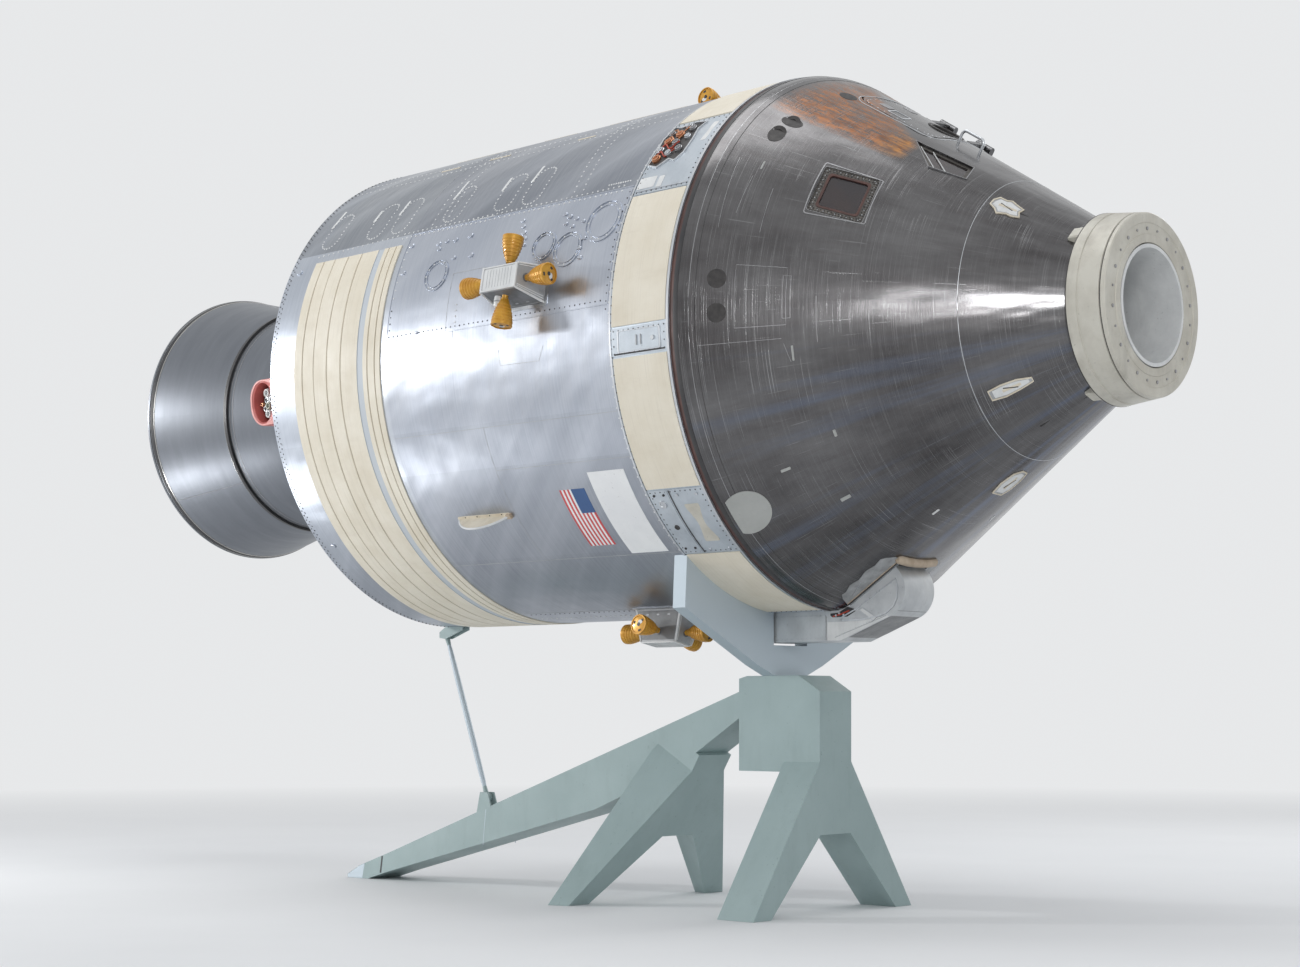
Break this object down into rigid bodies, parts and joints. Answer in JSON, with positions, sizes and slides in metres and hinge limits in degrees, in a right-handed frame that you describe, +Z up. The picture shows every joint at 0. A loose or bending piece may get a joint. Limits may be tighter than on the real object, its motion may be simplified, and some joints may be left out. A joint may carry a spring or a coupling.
{
  "type": "space capsule",
  "caption": "Conical crew capsule joined to a cylindrical service module with a gimballed main engine bell, on a legged museum stand.",
  "frame": {"origin": "on the floor, under the middle of the whole object's box", "axes": "+X forward along the craft to the docking collar, +Z up"},
  "size_m": [9.6702, 4.446, 6.413],
  "materials": {
    "service_skin": "satin brushed",
    "radiator_paint": "matt ivory paint",
    "fairing_skin": "pale blue-grey satin",
    "bulkhead_foil": "dull",
    "engine_steel": "satin",
    "nozzle_metal": "dark satin",
    "nozzle_ring_dark": "matt",
    "boot_cloth": "matt",
    "quad_white": "satin",
    "quad_gold": "satin",
    "antenna_ivory": "matt",
    "connector_red": "satin",
    "capsule_metal": "polished and scratched",
    "window_glass": "clear, dark behind",
    "frame_dark": "matt, scorched",
    "collar_cream": "matt",
    "tunnel_white": "satin",
    "umbilical_metal": "satin, riveted",
    "stand_paint": "satin grey-green",
    "stand_pale": "satin pale blue-grey",
    "fitting_copper": "worn",
    "mount_pale": "satin",
    "cover_white": "matt",
    "disc_grey": "satin",
    "cabin_grey": "matt",
    "couch_fabric": "woven",
    "hinge_steel": "satin"
  },
  "bodies": {
    "craft": {"service_shell": "service_skin", "aft_bulkhead": "bulkhead_foil", "engine_mount": "engine_steel", "boot_skirt": "boot_cloth", "radiator_near": "radiator_paint", "radiator_far": "radiator_paint", "fairing": "fairing_skin", "fairing_radiators": "radiator_paint", "fairing_fittings": "fitting_copper", "quad_housing_near": "quad_white", "quad_housing_upper": "quad_white", "quad_housing_far": "quad_white", "quad_housing_lower": "quad_white", "quad_bells_near": "quad_gold", "quad_bells_upper": "quad_gold", "quad_bells_far": "quad_gold", "quad_bells_lower": "quad_gold", "blade_antennas": "antenna_ivory", "connector_housing": "connector_red", "connector_mount": "mount_pale", "heat_shield": "capsule_metal", "crew_shell": "capsule_metal", "hinge_brackets": "hinge_steel", "side_windows": "window_glass", "rendezvous_windows": "window_glass", "window_frames": "frame_dark", "crew_thrusters": "frame_dark", "skin_covers": "cover_white", "disc_cover": "disc_grey", "handrail": "hinge_steel", "cabin_floor": "cabin_grey", "crew_couches": "couch_fabric", "instrument_panel": "cabin_grey", "forward_cover": "capsule_metal", "docking_tunnel": "tunnel_white", "tunnel_hatch": "tunnel_white", "docking_collar": "collar_cream", "umbilical_housing": "umbilical_metal", "aft_arm": "stand_paint", "column": "stand_paint", "saddle": "stand_pale", "rear_legs": "stand_paint", "front_legs": "stand_paint", "strut": "stand_pale", "strut_brackets": "stand_paint"},
    "gimbal_ring": {"gimbal_ring": "engine_steel"},
    "engine": {"engine_block": "engine_steel", "nozzle": "nozzle_metal", "nozzle_ring": "nozzle_ring_dark", "nozzle_extension": "nozzle_metal", "boot_bowl": "boot_cloth"},
    "hatch": {"side_hatch": "capsule_metal", "hatch_arms": "hinge_steel", "hatch_window": "window_glass"}
  },
  "joints": [
    {"name": "engine_yaw", "type": "hinge", "parent": "craft", "child": "gimbal_ring", "pos_m": [-1.6151, 0, 4.19], "axis": [0, 0, 1], "range_deg": [-4.5, 4.5]},
    {"name": "engine_pitch", "type": "hinge", "parent": "gimbal_ring", "child": "engine", "pos_m": [-1.6151, 0, 4.19], "axis": [0, 1, 0], "range_deg": [-4.5, 4.5]},
    {"name": "hatch_swing", "type": "hinge", "parent": "craft", "child": "hatch", "pos_m": [3.0259, 0.475, 5.7146], "axis": [-0.8387, 0, 0.5446], "range_deg": [0, 100]}
  ]
}
